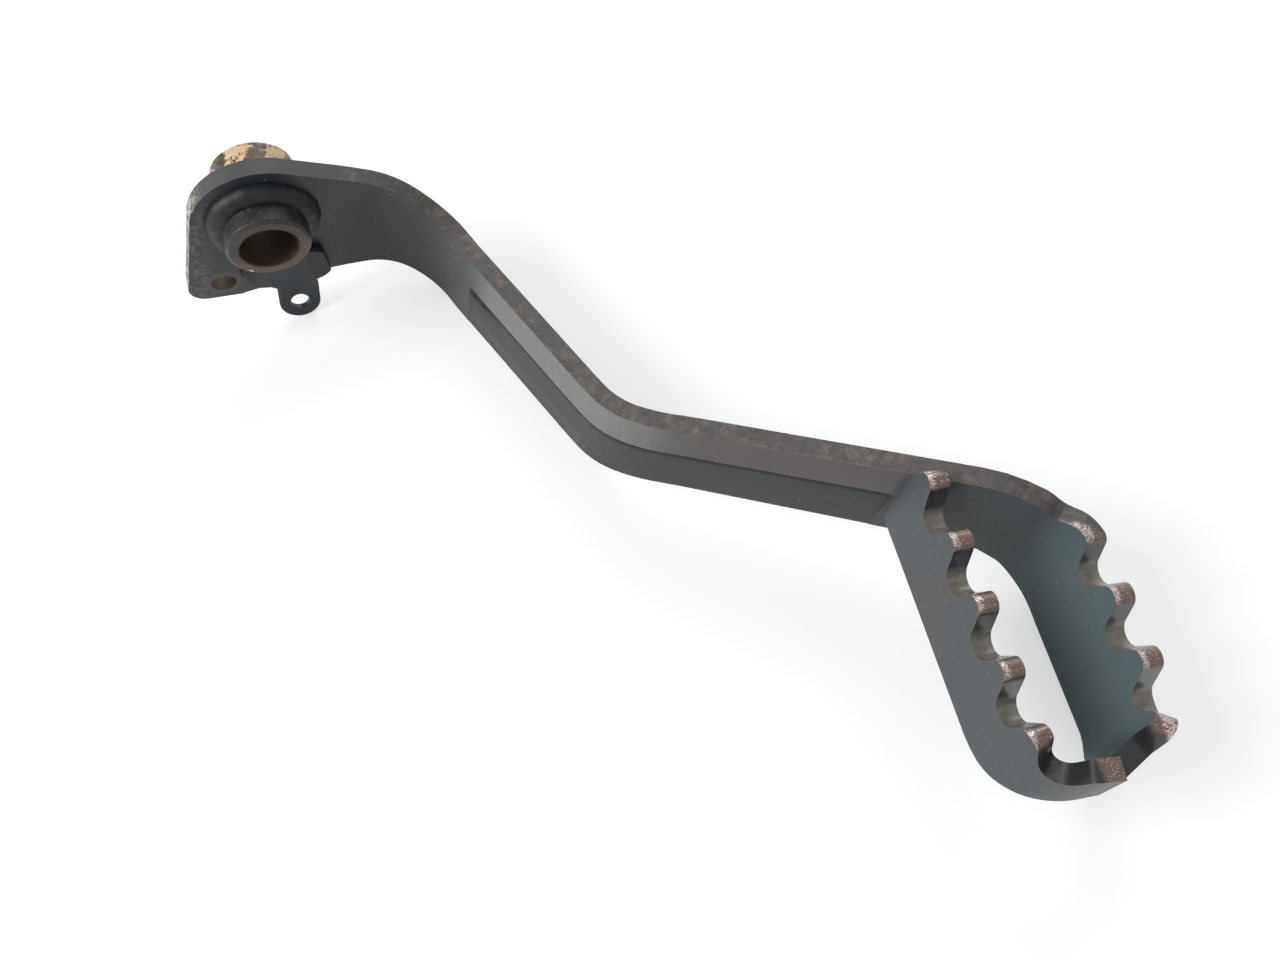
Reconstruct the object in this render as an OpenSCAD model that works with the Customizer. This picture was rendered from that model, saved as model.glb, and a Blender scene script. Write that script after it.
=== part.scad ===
// Foot pedal for a motorbike's rear brake: one welded steel piece that swings on a pivot tube.
// A thick plate stands on edge and bends outboard, then forward, then outboard again as the far
// side of the toothed tread. A second toothed strip closes the tread loop.
// Frame: origin on the bore axis in the head's outer face, +X forward, +Y inboard, +Z up.

/* [Part shown] */
// Piece to draw

/* [Plate] */
// Thickness of the arm plate and of the rear strip
plate_t = 5; // [4:0.5:6]
// Height of the arm, measured upright
arm_width = 26.6; // [22:0.2:30]

/* [Pivot tube] */
// Outside diameter of the tube
tube_d = 22; // [20:0.5:25]
// Diameter of the bore the pedal swings on
bore_d = 15; // [12:0.1:16]
// Length of tube standing out of the head's outer face
tube_front = 9.3; // [8:0.1:12]
// Length of tube standing out of the head's inner face
tube_back = 12.2; // [8:0.1:16]
// Bevel on the rims of the tube
tube_bevel = 0.8; // [0.3:0.1:1.2]
// Radial gap between the tube and its hole in the head
tube_gap = 0.1; // [0.05:0.05:0.3]

/* [Head] */
// Radius of the head's rounded top about the bore
head_r = 18.4; // [17:0.2:21]
// Depth of the head's lower edge under the bore axis
head_drop = 31.4; // [30:0.2:36]
// Diameter of the hole for the brake rod's pin
rod_hole_d = 7; // [6:0.5:8]
// Distance of the rod hole behind the bore axis
rod_hole_back = 12.8; // [11.5:0.1:14]
// Distance of the rod hole under the bore axis
rod_hole_down = 25; // [23.5:0.1:25.5]

/* [Arm bends] */
// Length from the bore axis to the first bend's corner
head_len = 42.4; // [40:0.2:46]
// Turn of the first bend, outboard
first_turn = 71.4; // [60:0.2:75]
// Radius inside the first bend
first_r = 21; // [18:0.5:24]
// Length from the first corner to the knee's corner
slant_len = 90; // [84:0.5:96]
// Turn of the knee, back towards forward
knee_turn = 36; // [28:0.5:40]
// Radius outside the knee
knee_r = 39.6; // [34:0.2:42]
// Length from the knee's corner to the tread's corner
fore_len = 102.9; // [98:0.1:110]
// Turn from the arm into the tread
tread_turn = 56.6; // [50:0.2:60]
// Radius inside the tread's first bend
tread_r = 15.8; // [12:0.2:18]

/* [Arm heights] */
// Height of the arm's top at the dip in the first bend
dip_z = -3.2; // [-6:0.2:0]
// Height of the arm's top where the knee starts
knee_low_z = 9.3; // [7:0.1:11]
// Height of the arm's top where the knee ends
knee_high_z = 18.6; // [16:0.1:20]

/* [Tread] */
// Height of the tooth tips over the bore axis
tip_z = 44.5; // [43:0.1:47]
// Depth of the gaps between teeth
tooth_depth = 9.4; // [8:0.1:10]
// Spacing of the teeth
pitch = 14.8; // [14.4:0.1:15]
// Radius of a tooth's tip
tip_r = 2.7; // [2.2:0.1:3]
// Radius at the foot of the gap between teeth
gap_r = 3.2; // [2.6:0.1:3.4]
// Height of the far side's lower edge
far_low_z = 10.1; // [8:0.1:13]
// Length of the far side, from corner to corner
far_len = 41.3; // [40:0.1:43]
// Turn of the far side's outer end, back to the rear strip
far_turn = 58; // [54:1:62]
// Radius inside that last turn
far_r = 8.5; // [7:0.1:10]

/* [Rear strip] */
// Distance along the arm from the knee's corner to the rear strip
strip_at = 65.4; // [63:0.1:67]
// Height of the rear strip's lower edge
strip_low_z = 17.3; // [15:0.1:20]
// Rise of that edge towards the outer end
strip_lift = 6; // [3:0.5:8]
// Length of the strip from the arm to its bend's corner
strip_len = 74.2; // [73:0.1:76]
// Turn of the strip's outer end
strip_turn = 84; // [80:1:88]
// Radius outside that turn
strip_r = 15; // [13:0.5:16]
// Length from that corner to the strip's end
strip_end = 16.8; // [16:0.1:18]

/* [Pressed step] */
// Depth of the step pressed in the arm's outer face
step_depth = 1.9; // [1:0.1:2.2]
// Distance of the step's edge under the arm's top
step_drop = 11.6; // [10:0.2:13]

/* [Spring tab] */
// Sheet thickness
tab_t = 1.5; // [1.2:0.1:2]
// Width of the tongue
tab_w = 11.4; // [10:0.2:13]
// Diameter of the spring's hole
tab_hole_d = 5.2; // [4.5:0.1:6]
// Distance of the spring's hole under the bore axis
tab_hole_down = 35.6; // [34.5:0.1:37]
// Lean of the tongue, outboard
tab_lean = 12; // [6:1:16]

/* [Weld beads] */
// Leg of the bead around the tube's outer side
bead_leg = 4; // [3:0.1:4.5]
// Leg of the bead around the tube's inner side
back_leg = 3; // [2:0.1:3.5]
// Leg of the small beads
small_leg = 2.4; // [1.8:0.1:3]

/* [Hidden] */
$fn = 64;
over = 1;
low_z = -60;
tall = 120;
corner_cuts = 6;
crest = 0.2;

// Headings of the straight runs, clockwise from forward when negative
slant_h = -first_turn;
fore_h = slant_h + knee_turn;
tread_h = fore_h - tread_turn;
end_h = tread_h - far_turn;
strip_end_h = tread_h + strip_turn;

function along(h, l) = [l * cos(h), l * sin(h)];
function leftward(h, l) = [-l * sin(h), l * cos(h)];
function arc_len(r, a) = r * a * PI / 180;
function tangent(r, a) = r * tan(a / 2);

// Corners of the arm's outer face seen from above, and the tangent length of each bend
first_c = [head_len, 0];
knee_c = first_c + along(slant_h, slant_len);
tread_c = knee_c + along(fore_h, fore_len);
far_c = tread_c + along(tread_h, far_len);
first_t = tangent(first_r, first_turn);
knee_t = tangent(knee_r, knee_turn);
tread_t = tangent(tread_r, tread_turn);
far_t = tangent(far_r, far_turn);

// Distance along the outer face, from the bore axis, where each bend starts and ends
first_in = head_len - first_t;
first_out = first_in + arc_len(first_r, first_turn);
knee_in = first_out + slant_len - first_t - knee_t;
knee_out = knee_in + arc_len(knee_r, knee_turn);
tread_in = knee_out + fore_len - knee_t - tread_t;
tread_out = tread_in + arc_len(tread_r, tread_turn);
far_in = tread_out + far_len - tread_t - far_t;
far_out = far_in + arc_len(far_r, far_turn);
run_end = far_out + 20;

// Point and heading on the arm's outer face at a distance s
function on_bend(c, h, r, turn, t, s) =
    let (a = (s / r) * 180 / PI, side = turn < 0 ? -1 : 1)
    let (p = c - along(h, t), m = p + leftward(h, side * r), g = h + side * a)
    [m[0] - leftward(g, side * r)[0], m[1] - leftward(g, side * r)[1], g];
function on_run(c, h, l) = [c[0] + l * cos(h), c[1] + l * sin(h), h];
function on_arm(s) =
    s < first_in ? [s, 0, 0] :
    s < first_out ? on_bend(first_c, 0, first_r, -1, first_t, s - first_in) :
    s < knee_in ? on_run(first_c, slant_h, first_t + s - first_out) :
    s < knee_out ? on_bend(knee_c, slant_h, knee_r, 1, knee_t, s - knee_in) :
    s < tread_in ? on_run(knee_c, fore_h, knee_t + s - knee_out) :
    s < tread_out ? on_bend(tread_c, fore_h, tread_r, -1, tread_t, s - tread_in) :
    s < far_in ? on_run(tread_c, tread_h, tread_t + s - tread_out) :
    s < far_out ? on_bend(far_c, tread_h, far_r, -1, far_t, s - far_in) :
    on_run(far_c, end_h, far_t + s - far_out);

// Rear strip, outer face
strip_c0 = knee_c + along(fore_h, strip_at);
strip_c1 = strip_c0 + along(tread_h, strip_len);
strip_t = tangent(strip_r, strip_turn);
strip_in = strip_len - strip_t;
strip_out = strip_in + arc_len(strip_r, strip_turn);
strip_run = strip_out + strip_end - strip_t;
strip_tip = strip_c1 + along(strip_end_h, strip_end);
function on_strip(s) =
    s < strip_in ? on_run(strip_c0, tread_h, s) :
    s < strip_out ? on_bend(strip_c1, tread_h, strip_r, 1, strip_t, s - strip_in) :
    on_run(strip_c1, strip_end_h, strip_t + s - strip_out);

// Rounds the corners of a line of points
function unit(v) = v / norm(v);
function eased(p, q, r, cut) =
    let (c = cut * min(norm(p - q), norm(r - q), 20))
    let (a = q + unit(p - q) * c, b = q + unit(r - q) * c)
    [for (k = [0 : corner_cuts]) let (f = k / corner_cuts)
        a * (1 - f) * (1 - f) + q * 2 * f * (1 - f) + b * f * f];
function smooth(pts, cut) = concat(
    [pts[0]],
    [for (i = [1 : len(pts) - 2]) each eased(pts[i - 1], pts[i], pts[i + 1], cut)],
    [pts[len(pts) - 1]]);

// Upper and lower edges of the unrolled arm: distance along the outer face, height
shoulder = 17.5;
end_top_z = tip_z - 6;
end_low_z = far_low_z + 14;
first_tooth = tread_in + 9.7;
last_tooth = first_tooth + 3 * pitch;
strip_tooth = 4.1;
top_edge = smooth([
    [head_r * sin(shoulder), head_r * cos(shoulder)],
    [first_in + 1, 8.9],
    [first_in + 21, dip_z],
    [knee_in + 3.5, knee_low_z],
    [knee_out - 3.5, knee_high_z],
    [tread_in - 11, tip_z + 0.5],
    [first_tooth - 10.5, tip_z],
    [first_tooth - 5.8, tip_z - 2.6],
    [first_tooth - 2.2, tip_z],
    [last_tooth + 2.6, tip_z],
    [last_tooth + 6, end_top_z],
    [run_end, end_top_z - 1]], 0.45);
low_edge = smooth([
    [-9, -head_drop],
    [first_in - 12, 1.4 - arm_width],
    [first_in + 4, 2.2 - arm_width],
    [first_in + 23, dip_z - arm_width],
    [knee_in + 4, knee_low_z - arm_width],
    [knee_out - 2, knee_high_z - arm_width + 0.6],
    [tread_in - 5, tip_z - arm_width + 1.2],
    [tread_in + 10, far_low_z],
    [far_out - 1, far_low_z],
    [far_out + 8, end_low_z],
    [run_end, end_low_z + 2]], 0.45);
corner_r = 5;
heel = [-17.4, corner_r - head_drop];
flank = 10;

module head_outline() {
    circle(r = head_r);
    translate(heel) circle(r = corner_r);
    // Straight rear flank between the rounded top and the lower rear corner
    polygon([
        [-head_r * cos(flank), head_r * sin(flank)],
        [heel[0] - corner_r * cos(flank), heel[1] + corner_r * sin(flank)],
        heel,
        [heel[0], -head_drop],
        [-8, -head_drop],
        [0, 0]]);
    // Neck that runs on to the first bend
    polygon(concat(
        [heel, [-head_r * 0.3, 0], [0, head_r * 0.9]],
        [for (q = top_edge) if (q[0] < first_in) q],
        [[first_in, lookup(first_in, top_edge)], [first_in, lookup(first_in, low_edge)]],
        [for (i = [len(low_edge) - 1 : -1 : 0]) if (low_edge[i][0] < first_in) low_edge[i]],
        [[heel[0], -head_drop]]));
}

// Lower and upper edges of the unrolled rear strip
strip_low = smooth([
    [-20, strip_low_z],
    [strip_in - 4, strip_low_z],
    [strip_in + 11, strip_low_z + strip_lift],
    [strip_run - 3, strip_low_z + 2.3 * strip_lift],
    [strip_run + 2, strip_low_z + 2.5 * strip_lift]], 0.4);
strip_top = [[-20, tip_z], [strip_run + 2, tip_z]];

// Distances at which a bent plate gets a section: close together in the bends
function spread(a, b, n) = [for (i = [1 : n]) a + (b - a) * i / n];
arm_cuts = concat([first_in], spread(first_in, first_out, 16), spread(first_out, knee_in, 14),
    spread(knee_in, knee_out, 14), spread(knee_out, tread_in, 16),
    spread(tread_in, tread_out, 12), spread(tread_out, far_in, 10), spread(far_in, far_out, 10),
    spread(far_out, run_end - 3, 6));
strip_cuts = concat([-12], spread(-12, strip_in, 4), spread(strip_in, strip_out, 18),
    spread(strip_out, strip_run, 4));

// Plate swept through its sections. Each section is a ring of points: depth, height
function placed(q, v) = let (d = leftward(q[2], v[0])) [q[0] + d[0], q[1] + d[1], v[1]];
module swept(rings) {
    n = len(rings[0]);
    m = len(rings);
    polyhedron(
        points = [for (r = rings) each r],
        faces = concat(
            [[for (k = [n - 1 : -1 : 0]) k]],
            [for (i = [0 : m - 2]) for (k = [0 : n - 1]) let (a = i * n + k, b = i * n + (k + 1) % n)
                each [[a, b, b + n], [a, b + n, a + n]]],
            [[for (k = [0 : n - 1]) (m - 1) * n + k]]));
}
function plate_ring(q, low, top) =
    [for (v = [[0, low], [0, top], [plate_t, top], [plate_t, low]]) placed(q, v)];

// Stands an outline, its first axis on +X, with depth y0 to y1 behind the outer face
module stood(y0, y1) {
    translate([0, y1, 0]) rotate([90, 0, 0]) linear_extrude(height = y1 - y0) children();
}

// Shape cut away between two teeth, its middle at x = 0 and the tips' height at y = 0
function arc_points(c, r, a0, a1, n) =
    [for (k = [0 : n]) let (a = a0 + (a1 - a0) * k / n) c + r * [cos(a), sin(a)]];
module gap_shape(w, d, rv) {
    c = [0, rv - d];
    t = [w / 2 - crest / 2, -tip_r];
    v = t - c;
    slope = atan2(v[1], v[0]) + asin((rv + tip_r) / norm(v));
    half = concat([[t[0], over]], arc_points(t, tip_r, 90, 90 + slope, 8),
        arc_points(c, rv, slope - 90, -90, 10));
    polygon(concat(half, [for (i = [len(half) - 2 : -1 : 0]) [-half[i][0], half[i][1]]]));
}
module gap_cut(p, w, d, rv) {
    translate([p[0], p[1], tip_z]) rotate([0, 0, p[2]]) stood(-over, plate_t + over)
        gap_shape(w, d, rv);
}

// Hollow under the step's edge: a narrow groove, then a slope that fades out at the lower edge
step_start = first_out + 9;
step_end = knee_out + strip_at - knee_t - 0.3;
step_cuts = concat(spread(step_start - 1, step_start + 5, 6), spread(step_start + 5, knee_in, 9),
    spread(knee_in, knee_out, 14), spread(knee_out, step_end - 1.2, 9), [step_end]);
function step_ring(s) =
    let (z = lookup(s, top_edge) - step_drop, low = lookup(s, low_edge) - 0.5)
    let (f = lookup(s, [[step_start - 1, 0.1], [step_start + 1.5, 0.8], [step_start + 5, 1]]))
    let (g = lookup(s, [[step_start - 1, 0.22], [step_start + 4, 0.4], [step_start + 16, 1]]))
    [for (v = [
        [-1, low], [-1, z + 1.1], [step_depth * 0.55 * f, z + 0.4], [step_depth * f, z - 0.5],
        [step_depth * 0.85 * f, z - 1.6], [step_depth * 0.62 * g, z - 2.8],
        [step_depth * 0.5 * g, z - 6], [step_depth * 0.24 * g, (z + low) / 2 - 2],
        [0.1, low]])
        placed(on_arm(s), v - [lookup(s, [[step_end - 1.2, 0], [step_end, 2.2]]), 0])];

module arm_plate() {
    difference() {
        union() {
            stood(0, plate_t) head_outline();
            swept([for (s = arm_cuts)
                plate_ring(on_arm(s), lookup(s, low_edge), lookup(s, top_edge))]);
        }
        rotate([-90, 0, 0]) translate([0, 0, -over])
            cylinder(d = tube_d + 2 * tube_gap, h = plate_t + 2 * over, $fn = 96);
        translate([-rod_hole_back, -over, -rod_hole_down]) rotate([-90, 0, 0])
            cylinder(d = rod_hole_d, h = plate_t + 2 * over);
        // Gaps between the teeth of the far side
        for (i = [0 : 2]) gap_cut(on_arm(first_tooth + pitch * (i + 0.5)), pitch, tooth_depth, gap_r);
        // Pressed step in the outer face
        swept([for (s = step_cuts) step_ring(s)]);
        // Cut where the far side meets the end of the rear strip
        translate([strip_tip[0], strip_tip[1], low_z]) rotate([0, 0, strip_end_h])
            translate([-30, -20, 0]) cube([30, 40, tall]);
    }
}

module rear_strip() {
    difference() {
        swept([for (s = strip_cuts)
            plate_ring(on_strip(s), lookup(s, strip_low), lookup(s, strip_top))]);
        for (i = [-1 : 2])
            gap_cut(on_strip(strip_tooth + pitch * (i + 0.5)), pitch, tooth_depth, gap_r);
        gap_cut(on_strip(strip_tooth + pitch * 3.5), pitch, tooth_depth, gap_r);
        gap_cut(on_strip(strip_tooth + pitch * 4.5), pitch, tooth_depth, gap_r);
        // Mitre against the arm's outer face
        translate([knee_c[0], knee_c[1], low_z]) rotate([0, 0, fore_h]) cube([200, 40, tall]);
    }
}

module pivot_tube() {
    l = tube_front + plate_t + tube_back;
    r = tube_d / 2;
    b = tube_bevel;
    rotate([90, 0, 0]) translate([0, 0, -plate_t - tube_back]) rotate_extrude($fn = 96)
        polygon([
            [bore_d / 2, 0], [r - b, 0], [r, b],
            [r, l - b], [r - b, l], [bore_d / 2, l]]);
}

tab_x = 6.7;
tab_top = tube_d / 2 + bead_leg + 0.4;
tab_fold = head_drop - 1.8;
tab_reach = (tab_hole_down - tab_fold) / cos(tab_lean);
// Ends of the side edges of the tab's base, on the head's outer face
base_left = [[-4.2, -tab_top], [-4.8, -tab_fold + 1.8]];
base_right = [[tab_x + 2.6, -tab_top], [tab_x + tab_w / 2 - 0.9, -tab_fold + 4]];
module spring_tab() {
    difference() {
        union() {
            // Base narrowing down to the tongue
            stood(-tab_t, 0) polygon([
                base_left[0], base_right[0], base_right[1],
                [tab_x + tab_w / 2, -tab_fold], [tab_x - tab_w / 2, -tab_fold],
                [tab_x - tab_w / 2 - 1.6, -tab_fold + 1.2], base_left[1]]);
            // Leaning tongue with a round end
            translate([tab_x, 0, -tab_fold]) rotate([-tab_lean, 0, 0]) {
                translate([-tab_w / 2, -tab_t, -tab_reach]) cube([tab_w, tab_t, tab_reach + 0.15]);
                translate([0, 0, -tab_reach]) rotate([90, 0, 0]) cylinder(d = tab_w, h = tab_t);
            }
        }
        translate([tab_x, 0, -tab_fold]) rotate([-tab_lean, 0, 0])
            translate([0, over, -tab_reach]) rotate([90, 0, 0])
            cylinder(d = tab_hole_d, h = tab_t + 2 * over);
    }
}

module ring_bead(leg, out) {
    r = tube_d / 2;
    rotate([out * 90, 0, 0]) rotate_extrude($fn = 96) intersection() {
        translate([r, 0]) circle(r = leg);
        translate([r, 0]) square(leg + over);
    }
}

module outer_bead() {
    ring_bead(bead_leg, 1);
}

module inner_bead() {
    translate([0, plate_t, 0]) ring_bead(back_leg, -1);
}

// Bead along a side edge of the tab's base, centred at a share of the edge
module side_bead(edge, share, r, side) {
    up = edge[0] - edge[1];
    c = edge[0] - share * up;
    translate([c[0], 0, c[1]]) rotate([0, atan2(up[0], up[1]), 0]) intersection() {
        sphere(r = r);
        translate([side < 0 ? -small_leg - r : 0, -small_leg, -r])
            cube([small_leg + (side < 0 ? r : 2.6), small_leg, 2 * r]);
    }
}
module tab_beads() {
    side_bead(base_left, 0.48, 3.5, -1);
    side_bead(base_right, 0.45, 7, 1);
}

// Upright bead in the loop's inner corner between the rear strip and the arm
module strip_bead() {
    difference() {
        translate([strip_c0[0], strip_c0[1], strip_low_z + 2]) rotate([0, 0, fore_h])
            translate([plate_t / sin(tread_turn), 0, 0])
            cylinder(r = small_leg + 0.6, h = tip_z - tooth_depth - strip_low_z - 4);
        translate([knee_c[0], knee_c[1], low_z]) rotate([0, 0, fore_h]) cube([200, 40, tall]);
        translate([strip_c0[0], strip_c0[1], low_z]) rotate([0, 0, tread_h])
            translate([-20, -20, 0]) cube([60, 20 + plate_t, tall]);
    }
}

steel = [0.17, 0.18, 0.19];
bead = [0.12, 0.12, 0.12];
color(steel) arm_plate();
color(steel) rear_strip();
color([0.3, 0.25, 0.2]) pivot_tube();
color(steel) spring_tab();
color(bead) outer_bead();
color(bead) inner_bead();
color(bead) tab_beads();
color(bead) strip_bead();
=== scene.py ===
"""A worn, black-painted rear brake pedal: welded plate arm, toothed tread loop and pivot tube."""

import math

import bmesh
import bpy
from mathutils import Matrix, Vector


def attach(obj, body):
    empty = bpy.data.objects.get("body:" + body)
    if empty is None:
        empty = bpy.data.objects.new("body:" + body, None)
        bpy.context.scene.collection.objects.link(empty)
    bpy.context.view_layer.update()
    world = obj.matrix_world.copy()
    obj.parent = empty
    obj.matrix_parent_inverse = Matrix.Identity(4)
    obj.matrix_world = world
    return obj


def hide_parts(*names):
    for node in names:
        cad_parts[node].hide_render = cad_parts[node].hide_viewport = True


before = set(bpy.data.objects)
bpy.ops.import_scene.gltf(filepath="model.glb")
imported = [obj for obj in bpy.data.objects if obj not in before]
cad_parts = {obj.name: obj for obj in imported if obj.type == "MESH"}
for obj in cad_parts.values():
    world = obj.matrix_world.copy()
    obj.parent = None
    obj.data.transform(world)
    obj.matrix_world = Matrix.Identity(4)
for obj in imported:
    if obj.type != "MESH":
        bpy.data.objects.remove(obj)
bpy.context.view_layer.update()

bl_info = {
    "name": "Brake pedal looks",
    "version": (1, 0, 0),
    "blender": (4, 5, 0),
    "location": "3D View > Sidebar > Pedal",
    "description": "Rounds, welds, paints and wears a welded plate brake pedal",
    "category": "Object",
}

MM = 0.001
TUBE_R = 11.0
PLATE_T = 5.0

# The arm in plan, in millimetres: the headings of its runs, and the corners of its outer face
SLANT = math.radians(-71.4)
FORE = math.radians(-35.4)
TREAD = math.radians(-92.0)
BEND = Vector((42.4, 0.0, 0.0))
KNEE = Vector((71.106, -85.299, 0.0))
FAR = Vector((154.983, -144.907, 0.0))


def ahead(heading):
    """Unit vector along a heading."""
    return Vector((math.cos(heading), math.sin(heading), 0))


def leftward(heading):
    """Unit vector to the left of a heading, from a plate's outer face to its inner one."""
    return Vector((-math.sin(heading), math.cos(heading), 0))


# Where the rear strip's outer face meets the arm's
STRIP = KNEE + ahead(FORE) * 65.4


# Sizes and colours

def colour(name, about, rgb):
    return bpy.props.FloatVectorProperty(
        name=name, description=about, subtype="COLOR", size=3, min=0, max=1, default=rgb)


class PedalSizes(bpy.types.PropertyGroup):
    """Sizes of the finish, in metres."""

    edge_round: bpy.props.FloatProperty(
        name="Edge rounding", description="Radius on the plates' sheared corners",
        unit="LENGTH", default=0.00045, min=0.0001, max=0.001)
    rim_round: bpy.props.FloatProperty(
        name="Rim rounding", description="Radius on the tube's rims",
        unit="LENGTH", default=0.0003, min=0.0001, max=0.0006)
    bead_leg: bpy.props.FloatProperty(
        name="Outer bead", description="Leg of the weld bead on the tube's outer side",
        unit="LENGTH", default=0.004, min=0.002, max=0.004)
    back_leg: bpy.props.FloatProperty(
        name="Inner bead", description="Leg of the weld bead on the tube's inner side",
        unit="LENGTH", default=0.003, min=0.002, max=0.003)
    bead_round: bpy.props.FloatProperty(
        name="Bead rounding", description="Radius on the corners of the small weld beads",
        unit="LENGTH", default=0.0006, min=0.0002, max=0.001)
    ripples: bpy.props.IntProperty(
        name="Ripples", description="Ripples around a weld bead", default=17, min=8, max=60)


class PedalColours(bpy.types.PropertyGroup):
    """Colours of the finish, linear."""

    paint: colour("Paint", "Satin black paint on the flat faces", (0.015, 0.020, 0.025))
    edge_paint: colour(
        "Edge paint", "Thin, rough paint on the sheared edges", (0.082, 0.071, 0.065))
    bare: colour("Bare steel", "Steel rubbed bare on the tooth crests", (0.62, 0.53, 0.47))
    rust: colour("Rust", "Bronze-brown stain round the bare steel", (0.150, 0.088, 0.062))
    # Dust on the flaked head end; in the gaps, dust with painted sheen
    dust_and_sheen: colour("Dust", "Dry dust in the gaps between the teeth", (0.21, 0.185, 0.15))
    mud: colour("Mud", "Dry mud on the tube's inner end", (0.45, 0.31, 0.16))
    tube: colour("Tube", "Stained steel of the tube's rim", (0.105, 0.070, 0.042))
    floor: colour("Floor", "Pale ground", (0.90, 0.90, 0.89))


# Shader maths

class Socket:
    """A node's output, with arithmetic that adds Math nodes."""

    def __init__(self, tree, out):
        self.tree, self.out = tree, out

    def _math(self, operation, *values):
        return self.tree.node("ShaderNodeMath", {"operation": operation}, *values)

    def __add__(self, v):
        return self._math("ADD", self, v)

    def __radd__(self, v):
        return self._math("ADD", v, self)

    def __sub__(self, v):
        return self._math("SUBTRACT", self, v)

    def __rsub__(self, v):
        return self._math("SUBTRACT", v, self)

    def __mul__(self, v):
        return self._math("MULTIPLY", self, v)

    def __rmul__(self, v):
        return self._math("MULTIPLY", v, self)

    def __truediv__(self, v):
        return self._math("DIVIDE", self, v)

    def __pow__(self, v):
        return self._math("POWER", self, v)

    def least(self, v):
        return self._math("MINIMUM", self, v)

    def most(self, v):
        return self._math("MAXIMUM", self, v)

    def size(self):
        return self._math("ABSOLUTE", self)

    def clamped(self):
        return self._math("MAXIMUM", self._math("MINIMUM", self, 1.0), 0.0)

    def ramp(self, low, high):
        """0 at low, 1 at high, straight between."""
        return ((self - low) / (high - low)).clamped()

    def along(self, stops):
        """Value at this place along a table of (place, value), straight between its rows."""
        value = stops[0][1]
        for (a, low), (b, high) in zip(stops, stops[1:]):
            value = self.ramp(a, b) * (high - low) + value
        return value

    def step(self, low, high):
        """0 below low, 1 above high, eased between. low may be the larger."""
        return self.tree.node(
            "ShaderNodeMapRange", {"interpolation_type": "SMOOTHSTEP"},
            **{"Value": self, "From Min": low, "From Max": high, "To Min": 0.0, "To Max": 1.0})


class Tree:
    """A material's node tree."""

    def __init__(self, name):
        self.material = bpy.data.materials.new(name)
        self.material.use_nodes = True
        self.nodes = self.material.node_tree.nodes
        self.links = self.material.node_tree.links
        self.nodes.clear()

    def node(self, kind, settings=None, *values, output=0, **inputs):
        """A new node's output. Values go to the inputs in order, where they aren't None."""
        n = self.nodes.new(kind)
        for key, value in (settings or {}).items():
            setattr(n, key, value)
        for key, value in [*enumerate(values), *inputs.items()]:
            if value is None:
                continue
            if isinstance(value, Socket):
                self.links.new(value.out, n.inputs[key])
            elif n.inputs[key].type == "RGBA" and len(value) == 3:
                n.inputs[key].default_value = (*value, 1.0)
            else:
                n.inputs[key].default_value = value
        return Socket(self, n.outputs[output])

    def mix(self, factor, a, b):
        """Colour a where factor is 0, colour b where it is 1."""
        n = self.nodes.new("ShaderNodeMix")
        n.data_type = "RGBA"
        for slot, value in ((0, factor), (6, a), (7, b)):
            if isinstance(value, Socket):
                self.links.new(value.out, n.inputs[slot])
            else:
                n.inputs[slot].default_value = value if slot == 0 else (*value, 1.0)
        return Socket(self, n.outputs[2])

    def layers(self, base, *layers):
        """Base with each (factor, colour) laid over it in turn."""
        for factor, over in layers:
            base = self.mix(factor, base, over)
        return base

    def stored(self, name):
        """A value that is stored on the faces."""
        return self.node("ShaderNodeAttribute", {"attribute_name": name}, output=2)

    def place(self):
        """Object coordinates in millimetres: the vector, then X, Y and Z."""
        at = self.node("ShaderNodeTexCoord", output=3)
        mm = self.node("ShaderNodeVectorMath", {"operation": "SCALE"}, at, Scale=1000.0)
        n = self.nodes.new("ShaderNodeSeparateXYZ")
        self.links.new(mm.out, n.inputs[0])
        return (mm, *(Socket(self, o) for o in n.outputs))

    def noise(self, at, scale, detail=3.0, rough=0.55, stretch=None):
        """Noise with about scale features per millimetre."""
        if stretch:
            at = self.node("ShaderNodeVectorMath", {"operation": "MULTIPLY"}, at, stretch)
        return self.node(
            "ShaderNodeTexNoise", None, at, Scale=scale, Detail=detail, Roughness=rough)

    def spots(self, at, marks):
        """1 within the radius of any (centre, radius, soft), fading to 0 over its soft edge."""
        found = None
        for centre, radius, soft in marks:
            away = self.node(
                "ShaderNodeVectorMath", {"operation": "DISTANCE"}, at, centre, output=1)
            spot = away.step(radius + soft, radius - soft)
            found = found.most(spot) if found else spot
        return found

    def finish(self, base, rough, height, **others):
        """Principled shader from the maps, and the material."""
        bump = self.node(
            "ShaderNodeBump", None, Height=height, Distance=BUMP_DEPTH, Strength=1.0)
        inputs = {"Base Color": base, "Roughness": rough, "Normal": bump, **others}
        self.node_out(self.node("ShaderNodeBsdfPrincipled", None, **inputs))
        return self.material

    def node_out(self, shader):
        """Sends a shader to the surface."""
        n = self.nodes.new("ShaderNodeOutputMaterial")
        self.links.new(shader.out, n.inputs[0])


# Mesh helpers

WELD = 2e-6
SHARP = 28

def mesh_object(name, bm, material, angle=35):
    """A new piece from a bmesh, riding on the pedal."""
    mesh = bpy.data.meshes.new(name)
    bm.to_mesh(mesh)
    bm.free()
    mesh.materials.append(material)
    mesh.shade_smooth()
    mesh.set_sharp_from_angle(angle=math.radians(angle))
    piece = bpy.data.objects.new(name, mesh)
    bpy.context.scene.collection.objects.link(piece)
    flat = piece.modifiers.new("Flat faces", "WEIGHTED_NORMAL")
    flat.keep_sharp = True
    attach(piece, "root")
    return piece


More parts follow.
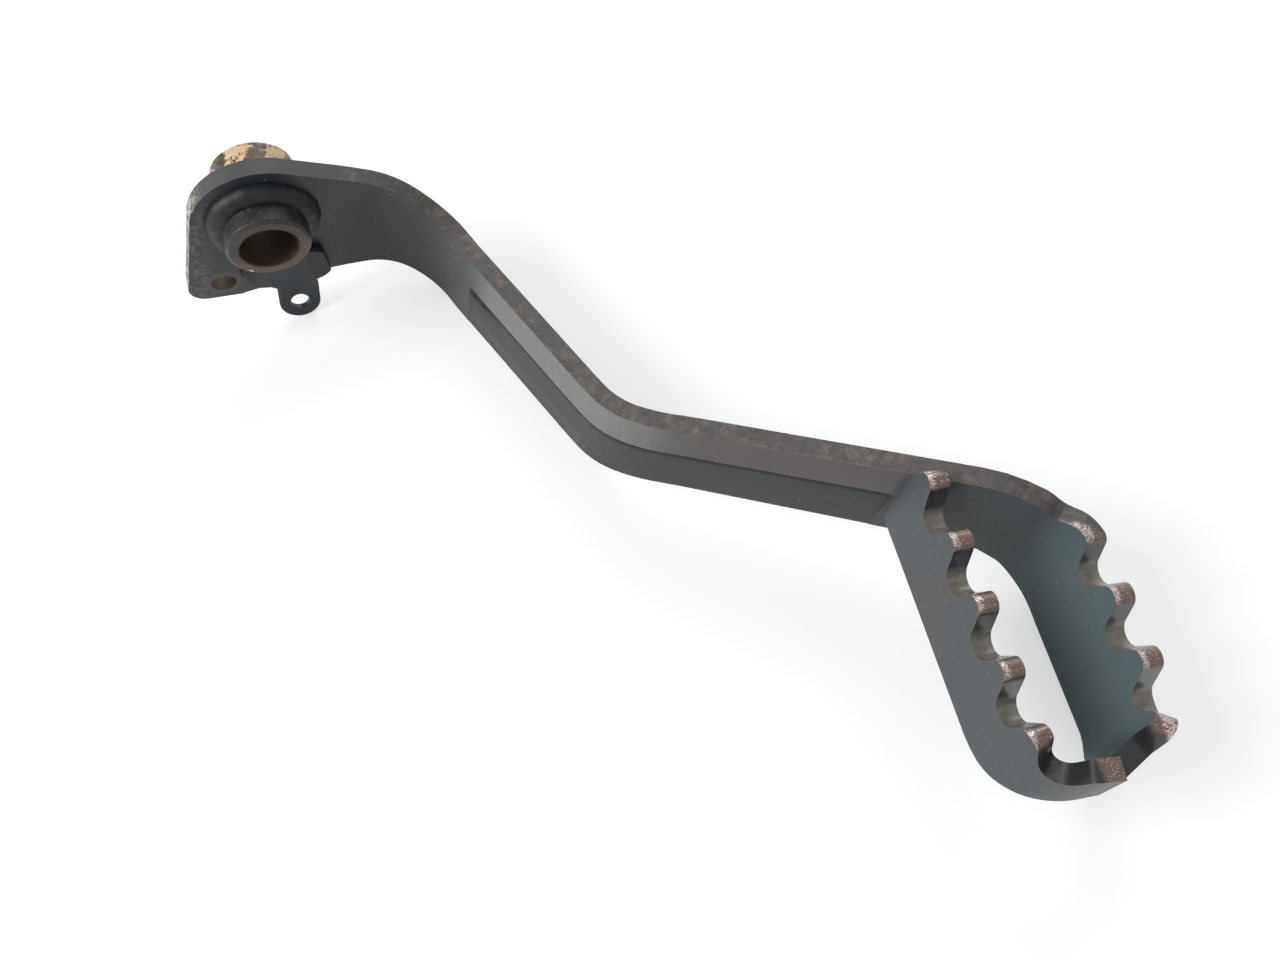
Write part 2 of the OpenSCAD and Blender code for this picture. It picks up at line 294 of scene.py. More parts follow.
def merged(node):
    """A welded, closed copy of a CAD node's mesh, with its flat faces whole again."""
    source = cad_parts[node]
    bm = bmesh.new()
    bm.from_mesh(source.data)
    bm.transform(source.matrix_world)
    bmesh.ops.remove_doubles(bm, verts=bm.verts, dist=WELD)
    bmesh.ops.dissolve_limit(
        bm, angle_limit=math.radians(0.4), verts=bm.verts, edges=bm.edges,
        use_dissolve_boundaries=False)
    return bm


def round_edges(bm, width, segments=2):
    """Rounds every sharp corner, and stores 1 on the faces of the roundings."""
    bm.normal_update()
    corners = [
        e for e in bm.edges if e.is_manifold and e.calc_face_angle(0) > math.radians(SHARP)]
    layer = bm.faces.layers.float.new("corner")
    for f in bmesh.ops.bevel(
            bm, geom=corners, offset=width, affect="EDGES", segments=segments, profile=0.5,
            material=-1, clamp_overlap=True)["faces"]:
        f[layer] = 1.0
    bmesh.ops.remove_doubles(bm, verts=bm.verts, dist=WELD)


def plate_side(place):
    """Direction through the arm's plate at a place in millimetres."""
    on_head = place.x < 45 and place.y > -12
    if on_head:
        return leftward(0)
    return leftward(SLANT if place.x < 71 else FORE)


def reach(face, direction):
    """How far a face reaches along a direction, in millimetres."""
    along = [v.co.dot(direction) / MM for v in face.verts]
    return max(along) - min(along)


def mark_edges(bm):
    """Stores 1 on the faces that cross the plate's thickness, 0 on its flat sides."""
    layer = bm.faces.layers.float.new("sheared")
    bm.normal_update()
    for f in bm.faces:
        c = f.calc_center_median() / MM
        upright = abs(f.normal.z) < 0.05
        shallow = reach(f, plate_side(c)) < 3 and c.y >= -125
        f[layer] = 0.0 if upright or shallow else 1.0


# Toothed plates of the loop

TIP_Z = 44.5
PITCH = 14.8

# Rear strip: a lead that the mitre takes off, its straight run, the bend's radius and turn, the end
STRIP_LEAD, STRIP_RUN, STRIP_R, STRIP_TURN, STRIP_END = 8.0, 60.69, 15.0, 84.0, 3.6
STRIP_FIRST = 4.1
STRIP_LOW = (
    (-8, 17.3), (55, 17.3), (58, 17.7), (61, 18.7), (65, 20.8), (70, 24.0), (75, 27.7),
    (78, 29.8), (80, 31.0), (83, 32.1), (86, 32.5))

# Far side from its third tooth's crest on: the straight run, the bend, the end below the crests
FAR_START, FAR_RUN, FAR_R, FAR_TURN, FAR_END, FAR_DROP = 32.2, 6.1, 8.5, -66.0, 10.9, 5.8
FAR_LOW = (
    (0, 10.1), (9, 10.1), (12, 10.6), (15, 12.2), (18, 15.2), (27, 29.5), (29, 31.6), (40, 33.0))

# Distance from the first bend's corner to the start of the step
STEP_START = 24.09


def gap_drop(u, depth=9.4, bottom=3.2, tip=2.7):
    """Drop of a toothed edge below its crests, u from the middle of a gap: round, sloped, round."""
    half = PITCH / 2
    u = min(abs(u), half)
    rise = depth - bottom - tip
    slope = math.atan2(rise, half) + math.asin((bottom + tip) / math.hypot(half, rise))
    if u < bottom * math.sin(slope):
        return depth - bottom + math.sqrt(bottom ** 2 - u ** 2)
    if u > half - tip * math.sin(slope):
        return tip - math.sqrt(tip ** 2 - (half - u) ** 2)
    foot = depth - bottom + bottom * math.cos(slope)
    return foot - (u - bottom * math.sin(slope)) * math.tan(slope)


def between(stops, at):
    """Value at a place along a table of (place, value)."""
    for (a, low), (b, high) in zip(stops, stops[1:]):
        if at <= b:
            return low + (high - low) * min(max((at - a) / (b - a), 0.0), 1.0)
    return stops[-1][1]


class PlateRun:
    """A plate of one thickness, drawn out section by section along its outer face.

    Its length is measured at mid thickness, as the punched blank's is before it is bent."""

    def __init__(self, bm, at, heading, start):
        self.bm, self.at, self.heading, self.length = bm, Vector(at), heading, start
        side = leftward(heading) * PLATE_T
        low = [self.bm.verts.new(p * MM) for p in (self.at, self.at + side)]
        high = [self.bm.verts.new((p + Vector((0, 0, 1))) * MM) for p in (self.at + side, self.at)]
        self.ring = low + high
        self.edges = [
            bm.edges.new((self.ring[i], self.ring[(i + 1) % 4])) for i in range(4)]
        self.sections = [(start, low, high)]

    def draw(self):
        """Draws out a new section, and gives its vertices."""
        new = bmesh.ops.extrude_edge_only(self.bm, edges=self.edges)["geom"]
        self.edges = [g for g in new if isinstance(g, bmesh.types.BMEdge) and all(
            v in new for v in g.verts) and not any(v in self.ring for v in g.verts)]
        self.ring = [g for g in new if isinstance(g, bmesh.types.BMVert)]
        return self.ring

    def note(self):
        """Keeps the newest section's lower and upper vertices with its length."""
        low = [v for v in self.ring if v.co.z < 0.5 * MM]
        self.sections.append((self.length, low, [v for v in self.ring if v not in low]))

    def straight(self, length, steps):
        """Runs straight on."""
        move = ahead(self.heading) * length / steps
        for _ in range(steps):
            bmesh.ops.translate(self.bm, verts=self.draw(), vec=move * MM)
            self.at += move
            self.length += length / steps
            self.note()

    def bend(self, radius, turn, steps):
        """Bends by turn degrees, to the left where it is positive."""
        side = 1 if turn > 0 else -1
        centre = self.at + leftward(self.heading) * radius * side
        each = math.radians(turn) / steps
        swing = Matrix.Rotation(each, 3, "Z")
        for _ in range(steps):
            bmesh.ops.rotate(self.bm, verts=self.draw(), cent=centre * MM, matrix=swing)
            self.at = centre + swing @ (self.at - centre)
            self.heading += each
            self.length += abs(each) * (radius - side * PLATE_T / 2)
            self.note()

    def shape(self, low, top_z):
        """Gives every section its lower and upper height, and closes the end."""
        for length, feet, tops in self.sections:
            for v in feet:
                v.co.z = between(low, length) * MM
            for v in tops:
                v.co.z = top_z(length) * MM
        bmesh.ops.contextual_create(self.bm, geom=self.edges)


def strip_height(length):
    """Upper edge of the rear strip: teeth, the last gap shallower, then the flat end."""
    gap, u = divmod(length - STRIP_FIRST, PITCH)
    if gap > 4:
        return TIP_Z
    shape = {"depth": 6.4, "bottom": 4.0} if gap == 4 else {}
    return TIP_Z - gap_drop(u - PITCH / 2, **shape)


def far_height(length):
    """Upper edge of the far side from its third tooth on: the fourth, then the low end."""
    fall = gap_drop(length % PITCH - PITCH / 2)
    if length < PITCH:
        return TIP_Z - fall
    return TIP_Z - (FAR_DROP if length > 1.5 * PITCH else min(fall, FAR_DROP))


def rear_strip_mesh():
    """The rear toothed strip, mitred against the arm's outer face."""
    bm = bmesh.new()
    run = PlateRun(bm, STRIP - ahead(TREAD) * STRIP_LEAD, TREAD, -STRIP_LEAD)
    run.straight(STRIP_LEAD + STRIP_RUN, 230)
    run.bend(STRIP_R, STRIP_TURN, 84)
    run.straight(STRIP_END, 12)
    run.shape(STRIP_LOW, strip_height)
    cut = bmesh.ops.bisect_plane(
        bm, geom=bm.verts[:] + bm.edges[:] + bm.faces[:], dist=1e-7, plane_co=KNEE * MM,
        plane_no=leftward(FORE), clear_outer=True)["geom_cut"]
    bmesh.ops.contextual_create(bm, geom=[g for g in cut if isinstance(g, bmesh.types.BMEdge)])
    bmesh.ops.recalc_face_normals(bm, faces=bm.faces)
    return bm


def flush_step(bm):
    """Brings the lower edge of the step's start flush with the arm's outer face."""
    along, inward = ahead(SLANT), leftward(SLANT)
    first = (BEND + along * STEP_START) * MM
    for v in bm.verts:
        depth = (v.co - first).dot(inward)
        if abs((v.co - first).dot(along)) < 5e-5 and 1e-6 < depth < 0.001:
            v.co -= inward * depth
    bmesh.ops.dissolve_degenerate(bm, dist=WELD, edges=bm.edges)


def mark_step(bm):
    """Stores 1 as "groove" on the step's inclined faces, and as "outer" on the outer side."""
    groove, outer = bm.faces.layers.float.new("groove"), bm.faces.layers.float.new("outer")
    for f in bm.faces:
        c = f.calc_center_median() / MM
        side = plate_side(c)
        if 45 < c.x < 130 and c.y > -128:
            f[groove] = float(abs(f.normal.z) > 0.15 and reach(f, side) < 2.2)
            f[outer] = float(f.normal.dot(side) < -0.8)


def arm_mesh():
    """The arm's plate, its end drawn out again from the third tooth to follow the bend."""
    bm = merged("arm_plate")
    start = FAR + ahead(TREAD) * FAR_START
    bmesh.ops.bisect_plane(
        bm, geom=bm.verts[:] + bm.edges[:] + bm.faces[:], dist=1e-6, plane_co=start * MM,
        plane_no=ahead(TREAD), clear_outer=True)
    run = PlateRun(bm, start, TREAD, 0.0)
    run.straight(FAR_RUN, 22)
    run.bend(FAR_R, FAR_TURN, 60)
    run.straight(FAR_END, 30)
    run.shape(FAR_LOW, far_height)
    bmesh.ops.remove_doubles(bm, verts=bm.verts, dist=3e-5)
    flush_step(bm)
    bmesh.ops.recalc_face_normals(bm, faces=bm.faces)
    mark_step(bm)
    return bm


# Materials

BUMP_DEPTH = 0.00012

# The crease of the step: its height against X, in millimetres
CREASE = ((52.8, -11.0), (66.5, -3.1), (80.9, 8.2), (123.5, 26.9))

# Marks, as (centre, radius, soft edge) in millimetres
# The pit at the step's start is painted shade with a painted highlight
PIT = (((50.6, -24.5, -13.3), 1.5, 0.9), ((52.0, -28.2, -13.4), 1.1, 0.8))
CHIP = (((69.2, -83.9, 0.5), 0.75, 0.2), ((69.2, -83.9, -0.6), 0.6, 0.2))
SCRAPE = (((121.9, -195.4, 32.9), 2.2, 0.8),)
SMUDGE = (((123.0, -150.0, 22.0), 10.0, 0.9),)
NICK = (((-5.6, -9.0, -8.7), 0.7, 0.3),)

# Tones of the plates' flat faces, linear
BROWNED = (0.040, 0.037, 0.036)
# Painted sheen: the rear strip's face made lighter where it faces the light
STRIP_SHEEN_TONE = (0.038, 0.044, 0.048)
# Painted teal reflection on the far side's face
FAR_REFLECTION_TONE = (0.052, 0.078, 0.085)
# Painted light: the arm past its first bend made lighter where it faces the light
BEND_LIT_TONE = (0.036, 0.038, 0.040)
SCRATCHED = (0.20, 0.19, 0.18)
# Painted sheen over rubbed paint on the step's land
RUBBED_SHEEN_GREY, RUBBED_SHEEN_BROWN = (0.170, 0.167, 0.160), (0.088, 0.070, 0.062)
SMUDGED = (0.070, 0.048, 0.036)
# Painted shade, for the step's groove and the pit
PAINTED_SHADE = (0.006, 0.006, 0.007)

# Tones of their sheared edges and corners
EDGE_DARK = (0.032, 0.032, 0.032)
EDGE_BLOTCH = (0.140, 0.112, 0.092)
EDGE_SPECK = (0.30, 0.27, 0.24)
EDGE_HEAD = (0.050, 0.052, 0.055)
EDGE_FLAKED = (0.50, 0.45, 0.38)
FLANK = (0.011, 0.012, 0.014)
BRONZE_DARK = (0.080, 0.050, 0.038)
CORNER_DARK = (0.010, 0.010, 0.011)
TICK = (0.42, 0.38, 0.34)
CORNER_BROWN = (0.17, 0.115, 0.08)

# Tones of the marks
# Painted highlight in the pit
GLINT = (0.45, 0.43, 0.40)
COPPER = (0.55, 0.26, 0.13)
HOLE_STAIN, HOLE_RUST = (0.070, 0.055, 0.042), (0.080, 0.055, 0.036)
SCRAPED = (0.30, 0.24, 0.20)
DOT = (0.22, 0.20, 0.18)

# Tones of the tube
TUBE_BLACK, TUBE_GREY, TUBE_WORN = (0.010, 0.011, 0.012), (0.024, 0.023, 0.022), (0.40, 0.38, 0.35)
RIM_DARK, RIM_SPECK = (0.035, 0.033, 0.030), (0.22, 0.17, 0.13)
BORE_GREEN, BORE_BROWN = (0.012, 0.015, 0.014), (0.055, 0.034, 0.018)
DIRT_DARK, DIRT_PALE, MUD_PALE = (0.045, 0.036, 0.028), (0.14, 0.095, 0.055), (0.62, 0.47, 0.29)
NICKED = (0.65, 0.65, 0.62)

# Grime on the weld beads
BEAD_GRIME = (0.022, 0.021, 0.020)


class PaintMaps:
    """The places, noises and masks that the worn paint is mixed from."""

    def __init__(self, t):
        self.at, self.x, self.y, self.z = t.place()
        self.sheared, self.corner = t.stored("sheared"), t.stored("corner")
        self.groove, self.outer = t.stored("groove"), t.stored("outer")
        self.fine = t.noise(self.at, 2.2, 4.0, 0.6)
        self.grain = t.noise(self.at, 0.55, 4.0, 0.6)
        # Beyond the plane of the arm's outer face lie only the loop's two toothed sides
        out = -leftward(FORE)
        self.loop = (self.x * out.x + self.y * out.y - KNEE.dot(out)).step(-0.5, 1.5)
        self.head = self.x.step(24.0, 14.0) * self.y.step(-11.0, -9.0)
        # Paint flaked off the head's end
        flakes = (self.grain + self.fine * 0.4 - 0.2).step(0.46, 0.60)
        self.flaked = self.x.step(-13.0, -18.5) * flakes
        # Where the pit's painted shade and highlight go
        self.pit = t.spots(self.at, PIT)
        self.find_step()
        self.find_teeth(t)

    def find_step(self):
        """The land above the step's crease, rubbed and painted with sheen, and the painted shade
        under the crease.
        """
        above = self.z - self.x.along(CREASE)
        arm = (1 - self.loop) * self.x.step(124.0, 122.5)
        self.land = self.outer * arm * above.step(-0.2, 0.6) * self.y.step(-18.0, -34.0)
        # Where the painted shade goes, in the groove under the crease
        self.shade = self.outer.most(self.groove) * arm * self.y.step(-21.0, -27.0) \
            * above.step(-4.5, -1.2) * above.step(0.8, 0.0)

    def find_teeth(self, t):
        """The crests, the streaks rubbed bright along their middle, and the gaps, with dust and
        painted sheen.
        """
        wander = (self.grain - 0.5) * 2.2 + (self.fine - 0.5) * 1.2
        height = self.z + wander
        teeth = self.loop * self.sheared
        # The flat before the strip's end keeps its paint
        kept = self.y.step(-191.0, -193.0) * self.x.step(128.0, 129.0) * self.x.step(135.2, 133.6)
        self.crest = height.step(42.3, 43.7) * teeth * (1 - kept)
        # Gaps between the teeth, laid with dust and painted sheen
        self.gap = (self.z + wander * 1.5).step(38.6, 36.4) * teeth
        left = leftward(TREAD)
        aside = self.x * left.x + self.y * left.y
        rear, far = ((aside - corner.dot(left)).size() for corner in (STRIP, FAR))
        middle = rear.least(far).step(2.2, 0.9)
        streak = t.noise(self.at, 2.2, 4.0, 0.7, stretch=(0.7, 1.8, 1.0))
        self.bright = self.crest * height.step(43.0, 44.3) \
            * (streak + middle * 0.13).step(0.56, 0.68)


def face_colour(t, m, colours):
    """Flat faces: smooth blue-black, with brown stains, a few scratches and the rubbed step;
    painted sheen on the loop, the arm past the bend and the step's land, and painted shade under
    its crease.
    """
    broad = t.noise(m.at, 0.09, 2.0, 0.5).step(0.35, 0.7)
    scratches = t.noise(m.at, 0.5, 2.0, 0.5, stretch=(0.35, 0.35, 3.5)).step(0.70, 0.76)
    # Painted sheen over rubbed paint for the step's land, grey then brown along X
    rubbed = t.mix(m.x.step(70.0, 88.0), RUBBED_SHEEN_GREY, RUBBED_SHEEN_BROWN)
    return t.layers(
        t.mix(broad * 0.35, colours.paint, BROWNED),
        # Painted sheen on the rear strip and loop
        (m.loop * m.x.step(146.0, 136.0), STRIP_SHEEN_TONE),
        # Painted teal reflection on the far side's face
        (m.x.step(128.0, 154.0), FAR_REFLECTION_TONE),
        # The arm past the first bend painted lighter, as where it faces the light
        (m.x.step(22.0, 40.0) * (1 - m.loop) * 0.6, BEND_LIT_TONE),
        (scratches * 0.25, SCRATCHED),
        (m.flaked * 0.35, colours.dust_and_sheen),
        # The step's land: painted sheen over rubbed paint
        (m.land * (0.10 + m.grain * 0.6 + m.fine * 0.6).clamped(), rubbed),
        (t.spots(m.at, SMUDGE) * m.grain.step(0.3, 0.6) * 0.35, SMUDGED),
        # Painted shade under the step's crease
        (m.shade * 0.85, PAINTED_SHADE))


def edge_colour(t, m, colours):
    """Sheared edges: rough grey-brown, smoother on the head, worn to bronze on the teeth."""
    blotch = t.noise(m.at, 0.28, 3.0, 0.6).step(0.50, 0.66)
    speck = t.noise(m.at, 2.4, 3.0, 0.6).step(0.60, 0.70)
    bronze = t.mix(m.fine.step(0.35, 0.65), colours.rust, BRONZE_DARK)
    return t.layers(
        t.mix((m.grain * 1.8 - 0.4).clamped(), EDGE_DARK, colours.edge_paint),
        (blotch * 0.5 * (1 - m.head), EDGE_BLOTCH),
        (speck * 0.30, EDGE_SPECK),
        (m.head * 0.6, EDGE_HEAD),
        (m.flaked * 0.9, EDGE_FLAKED),
        (m.loop * 0.92, FLANK),
        # Dust in the gaps, laid on as painted sheen
        (m.gap * (0.25 + m.grain * 0.8).clamped(), colours.dust_and_sheen),
        (m.crest * 0.95, bronze),
        (m.bright, colours.bare))


def corner_and_marks(t, m, base):
    """Thin paint with bright ticks on the corners, then the pit as painted shade with a painted
    highlight, chip, rod hole, scrape, dots.
    """
    ticks = t.noise(m.at, 2.4, 2.0, 0.5).step(0.54, 0.62)
    dots = t.noise(m.at, 0.8, 1.0, 0.3).step(0.745, 0.765)
    hole_x, hole_z = m.x + 12.8, m.z + 25.0
    hole = (hole_x * hole_x + hole_z * hole_z) ** 0.5
    return t.layers(
        base,
        (m.corner * (1 - m.loop) * (1 - m.head) * 0.7, CORNER_DARK),
        (m.corner * ticks * (0.75 - m.loop * 0.35), TICK),
        (m.corner * m.loop * m.z.step(36.0, 40.0) * 0.6, CORNER_BROWN),
        # The pit: painted shade, then a painted highlight in it
        (m.pit * 0.85, PAINTED_SHADE),
        (m.pit * m.fine.step(0.66, 0.70), GLINT),
        (t.spots(m.at, CHIP), COPPER),
        (hole.step(5.2, 4.2) * m.y.step(6.0, 5.0) * (0.35 + m.grain * 0.5), HOLE_STAIN),
        (hole.step(3.9, 3.6) * (0.55 + m.grain * 0.45), HOLE_RUST),
        (t.spots(m.at, SCRAPE) * m.fine.step(0.42, 0.5) * 0.8, SCRAPED),
        (dots * (1 - m.sheared) * 0.4, DOT))


def paint_material(colours):
    """Satin black paint over steel: thin and rough on the sheared edges, worn off the teeth."""
    t = Tree("Worn black paint")
    m = PaintMaps(t)
    base = t.mix(m.sheared, face_colour(t, m, colours), edge_colour(t, m, colours))
    base = corner_and_marks(t, m, base)
    rough = 0.38 + m.sheared * (0.20 - m.loop * 0.30) + (m.grain - 0.5) * 0.14 \
        + m.crest * 0.10 + m.gap * 0.12 + m.pit * 0.2 + m.groove * 0.2
    grit = m.sheared * (1 - m.loop * 0.75) * (1 - m.head * 0.6)
    bump = (m.fine - 0.5) * (0.16 + grit * 0.6 + m.crest * 0.35 + m.land * 0.5) \
        + (m.grain - 0.5) * (0.10 + grit * 0.9)
    return t.finish(base, rough.clamped(), bump, **{
        "Metallic": m.bright * 0.5, "Coat Weight": m.loop * m.sheared * 0.8,
        "Coat Roughness": 0.22, "Specular IOR Level": 0.35})


def tube_material(colours):
    """Stained tube: black paint outside, brown rim and bore, dry mud patches at the inner end."""
    t = Tree("Stained tube")
    at, x, y, z = t.place()
    fine = t.noise(at, 1.8, 4.0, 0.6)
    grain = t.noise(at, 0.45, 4.0, 0.6)
    patch = t.noise(at, 0.22, 4.0, 0.6)
    streak = t.noise(at, 1.1, 3.0, 0.6, stretch=(1.0, 0.4, 1.0)).step(0.60, 0.68)
    bore = ((x * x + z * z) ** 0.5).step(8.2, 7.8)
    rim = (y + (grain - 0.5) * 1.2).step(-8.3, -8.8)
    low = (z + x * -0.35 + (patch - 0.5) * 8.0).step(3.0, -5.0)
    back = y.step(6.5, 8.5) * (1 - bore)
    mud = back * (patch + (fine - 0.5) * 0.25).step(0.47, 0.54)
    base = t.layers(
        t.mix(grain.step(0.3, 0.7), TUBE_BLACK, TUBE_GREY),
        (streak * (y.step(-2.8, -3.8) * 0.15 + z.step(-2.0, -8.0) * 0.35), TUBE_WORN),
        (rim, t.layers(
            t.mix(low * 0.8, RIM_DARK, colours.tube),
            (fine.step(0.58, 0.66) * 0.35, RIM_SPECK))),
        (bore, t.mix(low, BORE_GREEN, BORE_BROWN)),
        (back, t.mix(grain.step(0.35, 0.65), DIRT_DARK, DIRT_PALE)),
        (mud, t.mix(fine.step(0.3, 0.7), colours.mud, MUD_PALE)),
        (t.spots(at, NICK), NICKED))
    rough = (0.34 + grain * 0.2 + mud * 0.4 + bore * 0.2).clamped()
    bump = (fine - 0.5) * (0.5 + mud * 0.8) + (grain - 0.5) * (0.5 + mud * 1.5)
    return t.finish(base, rough, bump, **{"Specular IOR Level": 0.3})


def bead_material(colours):
    """Painted weld bead, near black, with a little grime."""
    t = Tree("Painted weld bead")
    at = t.place()[0]
    fine = t.noise(at, 1.6, 4.0, 0.6)
    grain = t.noise(at, 0.5, 3.0, 0.6)
    base = t.layers(
        t.mix(grain.step(0.45, 0.8), [c * 0.4 for c in colours.paint], BEAD_GRIME),
        (fine.step(0.70, 0.74) * 0.35, DOT))
    return t.finish(
        base, 0.42 + grain * 0.2, (fine - 0.5) * 0.6 + grain, **{"Specular IOR Level": 0.4})


# Operators

class PEDAL_OT_plates(bpy.types.Operator):
    """Round the sheared corners of the plates and paint them"""

    bl_idname = "pedal.plates"
    bl_label = "Finish the plates"

    def execute(self, context):
        width = context.scene.pedal_sizes.edge_round
        paint = paint_material(context.scene.pedal_colours)
        for node, radius, make in (
                ("arm_plate", width, arm_mesh),
                ("rear_strip", width, rear_strip_mesh),
                ("spring_tab", width * 0.8, lambda: merged("spring_tab"))):
            bm = make()
            round_edges(bm, radius)
            mark_edges(bm)
            piece = mesh_object(node + "_finished", bm, paint)
            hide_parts(node)
        return {"FINISHED"}


class PEDAL_OT_tube(bpy.types.Operator):
    """Round the tube's rims and stain it"""

    bl_idname = "pedal.tube"
    bl_label = "Finish the tube"

    def execute(self, context):
        scene = context.scene
        bm = merged("pivot_tube")
        round_edges(bm, scene.pedal_sizes.rim_round)
        piece = mesh_object("pivot_tube_finished", bm, tube_material(scene.pedal_colours))
        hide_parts("pivot_tube")
        return {"FINISHED"}


class PEDAL_OT_beads(bpy.types.Operator):
    """Lay the rippled weld beads around the tube and paint the small ones"""

    bl_idname = "pedal.beads"
    bl_label = "Lay the weld beads"

    def ring(self, leg, face, side, ripples, phase):
        """A convex, faintly rippled fillet round the tube, on the head's face at Y face."""
        bm = bmesh.new()
        root = Vector((TUBE_R * MM, face, 0))
        crown = bm.verts.new(root + Vector((leg, 0, 0)))
        arc = bmesh.ops.spin(
            bm, geom=[crown], cent=root, axis=(0, 0, side), angle=math.pi / 2, steps=8)
        inner = bm.verts.new(root)
        last = next(g for g in arc["geom_last"] if isinstance(g, bmesh.types.BMVert))
        for end in (crown, last):
            bm.edges.new((inner, end))
        bmesh.ops.spin(
            bm, geom=bm.verts[:] + bm.edges[:], cent=(0, 0, 0), axis=(0, 1, 0),
            angle=2 * math.pi, steps=ripples * 14, use_merge=True)
        for v in bm.verts:
            a = math.atan2(v.co.z, v.co.x)
            foot = (Vector((math.cos(a), 0, math.sin(a))) * TUBE_R) * MM + Vector((0, face, 0))
            # Fine ripples over a slow swell, none of them quite in step
            swell = 0.95 + 0.012 * math.cos(ripples * a + phase + math.sin(3 * a)) \
                + 0.025 * math.sin(5 * a + phase) \
                + 0.012 * math.cos(2.3 * ripples * math.sin(a / 2))
            v.co = foot + (v.co - foot) * swell
        bmesh.ops.recalc_face_normals(bm, faces=bm.faces)
        return bm

    def execute(self, context):
        sizes = context.scene.pedal_sizes
        material = bead_material(context.scene.pedal_colours)
        for node, leg, face, side, phase in (
                ("outer_bead", sizes.bead_leg, 0.0, -1, 0.4),
                ("inner_bead", sizes.back_leg, PLATE_T * MM, 1, 1.9)):
            bm = self.ring(leg, face, side, sizes.ripples, phase)
            piece = mesh_object(node + "_rippled", bm, material, angle=60)
            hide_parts(node)
        for node in ("tab_beads", "strip_bead"):
            bm = merged(node)
            round_edges(bm, sizes.bead_round, 3)
            piece = mesh_object(node + "_rounded", bm, material, angle=60)
            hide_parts(node)
        return {"FINISHED"}


# The points that the pedal lies on, in millimetres: the tab's tip, the arm's lower edge after its
# first bend, and the far toothed side
FEET = ((8.1, -2.4, -41.0), (53.4, -16.9, -28.4), (158.6, -183.0, 10.2))
FEET_CLEARANCE = 0.0002

LAMP_TARGET = Vector((0.07, -0.09, 0.0))
LAMPS = (
    ("Window", (-1.4, 0.1, 0.75), 26.0, 0.9),
    ("Fill", (0.5, -1.0, 1.1), 1.2, 0.9),
    ("Back", (0.4, 0.9, 0.9), 10.0, 0.8))
SKY, SKY_STRENGTH = (0.93, 0.96, 1.0, 1.0), 0.50

# The photograph's camera, in metres
CAMERA_AT = (-0.01273, -0.22151, 0.28979)
CAMERA_RIGHT = Vector((0.9438, -0.2901, 0.1586))
CAMERA_UP = Vector((0.1944, 0.8749, 0.4435))
SENSOR, LENS = 36.0, 37.23


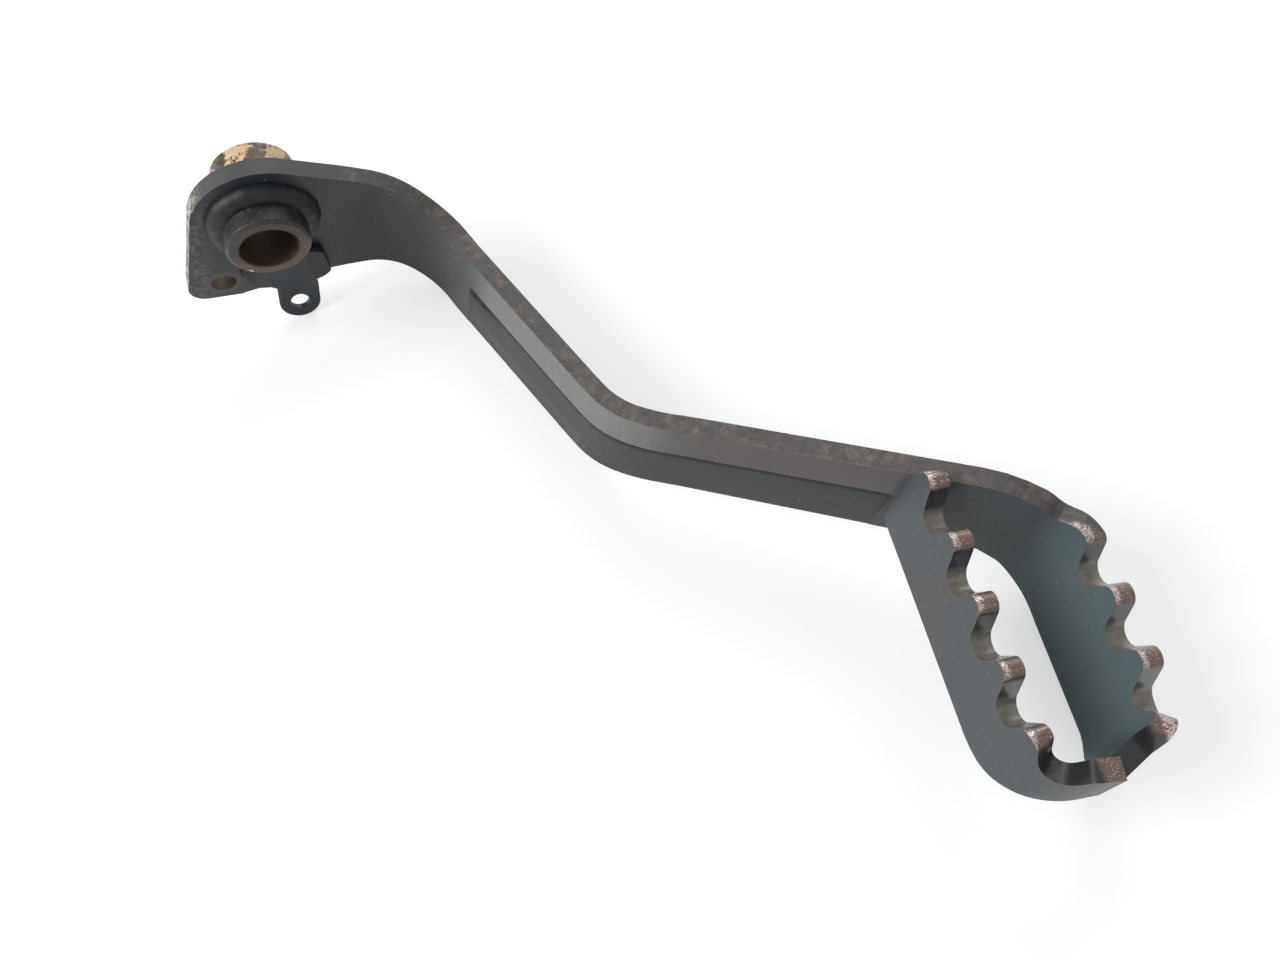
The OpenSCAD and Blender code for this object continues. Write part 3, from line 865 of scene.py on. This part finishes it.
class PEDAL_OT_stage(bpy.types.Operator):
    """Set the pale ground, the soft lights and the camera"""

    bl_idname = "pedal.stage"
    bl_label = "Set the stage"

    def floor_plane(self):
        """The plane the pedal lies on, as a point and its upward normal."""
        feet = [Vector(p) for p in FEET]
        lean = (feet[1] - feet[0]).cross(feet[2] - feet[0]).normalized()
        lean *= 1 if lean.z > 0 else -1
        lowest = min((o.matrix_world @ v.co).dot(lean)
                     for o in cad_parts.values() for v in o.data.vertices)
        return lean * (lowest - FEET_CLEARANCE), lean

    def ground_material(self, shade):
        """Pale ground that keeps shadows, part of it shining to the camera only."""
        t = Tree("Pale ground")
        lit = t.node("ShaderNodeBsdfPrincipled", None, **{
            "Base Color": shade, "Roughness": 0.9, "Specular IOR Level": 0.2})
        glow = t.node("ShaderNodeEmission", None, Color=(1.0, 1.0, 1.0), Strength=1.0)
        camera_ray = t.node("ShaderNodeLightPath", output=0)
        shown = t.node("ShaderNodeMixShader", None, camera_ray * 0.55, lit, glow)
        # Clear from below, so that a camera under the leaning plane still sees the pedal
        under = t.node("ShaderNodeNewGeometry", output=6) * camera_ray
        clear = t.node("ShaderNodeBsdfTransparent")
        t.node_out(t.node("ShaderNodeMixShader", None, under, shown, clear))
        return t.material

    def ground(self, scene):
        """The ground under the pedal."""
        point, up = self.floor_plane()
        bm = bmesh.new()
        bmesh.ops.create_grid(bm, x_segments=1, y_segments=1, size=3.0)
        bm.transform(Matrix.Translation(point) @ up.to_track_quat("Z", "Y").to_matrix().to_4x4())
        mesh = bpy.data.meshes.new("Ground")
        bm.to_mesh(mesh)
        bm.free()
        mesh.materials.append(self.ground_material(scene.pedal_colours.floor))
        ground = bpy.data.objects.new("Ground", mesh)
        scene.collection.objects.link(ground)

    def light(self, scene):
        """A soft sky and three square lamps."""
        world = bpy.data.worlds.new("Soft studio")
        world.use_nodes = True
        sky = world.node_tree.nodes["Background"]
        sky.inputs["Color"].default_value = SKY
        sky.inputs["Strength"].default_value = SKY_STRENGTH
        scene.world = world
        for name, place, power, size in LAMPS:
            data = bpy.data.lights.new(name, "AREA")
            data.shape, data.size, data.energy = "SQUARE", size, power
            lamp = bpy.data.objects.new(name, data)
            lamp.location = place
            aim = LAMP_TARGET - lamp.location
            lamp.rotation_euler = aim.to_track_quat("-Z", "Y").to_euler()
            scene.collection.objects.link(lamp)

    def camera(self, scene):
        """The photograph's camera."""
        data = bpy.data.cameras.new("Camera")
        data.sensor_width, data.lens = SENSOR, LENS
        data.clip_start, data.clip_end = 0.01, 20
        camera = bpy.data.objects.new("Camera", data)
        turn = Matrix((CAMERA_RIGHT, CAMERA_UP, CAMERA_RIGHT.cross(CAMERA_UP))).transposed()
        camera.matrix_world = Matrix.Translation(CAMERA_AT) @ turn.to_4x4()
        scene.collection.objects.link(camera)
        scene.camera = camera

    def execute(self, context):
        scene = context.scene
        self.ground(scene)
        self.light(scene)
        self.camera(scene)
        scene.view_settings.view_transform = "Standard"
        return {"FINISHED"}


class PEDAL_PT_panel(bpy.types.Panel):
    """Sizes, colours and steps of the pedal's looks"""

    bl_idname = "PEDAL_PT_panel"
    bl_label = "Brake pedal"
    bl_space_type = "VIEW_3D"
    bl_region_type = "UI"
    bl_category = "Pedal"

    def draw(self, context):
        for group in (context.scene.pedal_sizes, context.scene.pedal_colours):
            for key in group.__annotations__:
                self.layout.prop(group, key)
        for step in STEPS:
            self.layout.operator(step.bl_idname)


STEPS = (PEDAL_OT_plates, PEDAL_OT_tube, PEDAL_OT_beads, PEDAL_OT_stage)
CLASSES = (PedalSizes, PedalColours, *STEPS, PEDAL_PT_panel)


def register():
    for c in CLASSES:
        bpy.utils.register_class(c)
    bpy.types.Scene.pedal_sizes = bpy.props.PointerProperty(type=PedalSizes)
    bpy.types.Scene.pedal_colours = bpy.props.PointerProperty(type=PedalColours)


def unregister():
    del bpy.types.Scene.pedal_colours
    del bpy.types.Scene.pedal_sizes
    for c in reversed(CLASSES):
        bpy.utils.unregister_class(c)


def main():
    register()
    bpy.ops.pedal.plates()
    bpy.ops.pedal.tube()
    bpy.ops.pedal.beads()
    bpy.ops.pedal.stage()


if __name__ == "__main__":
    main()
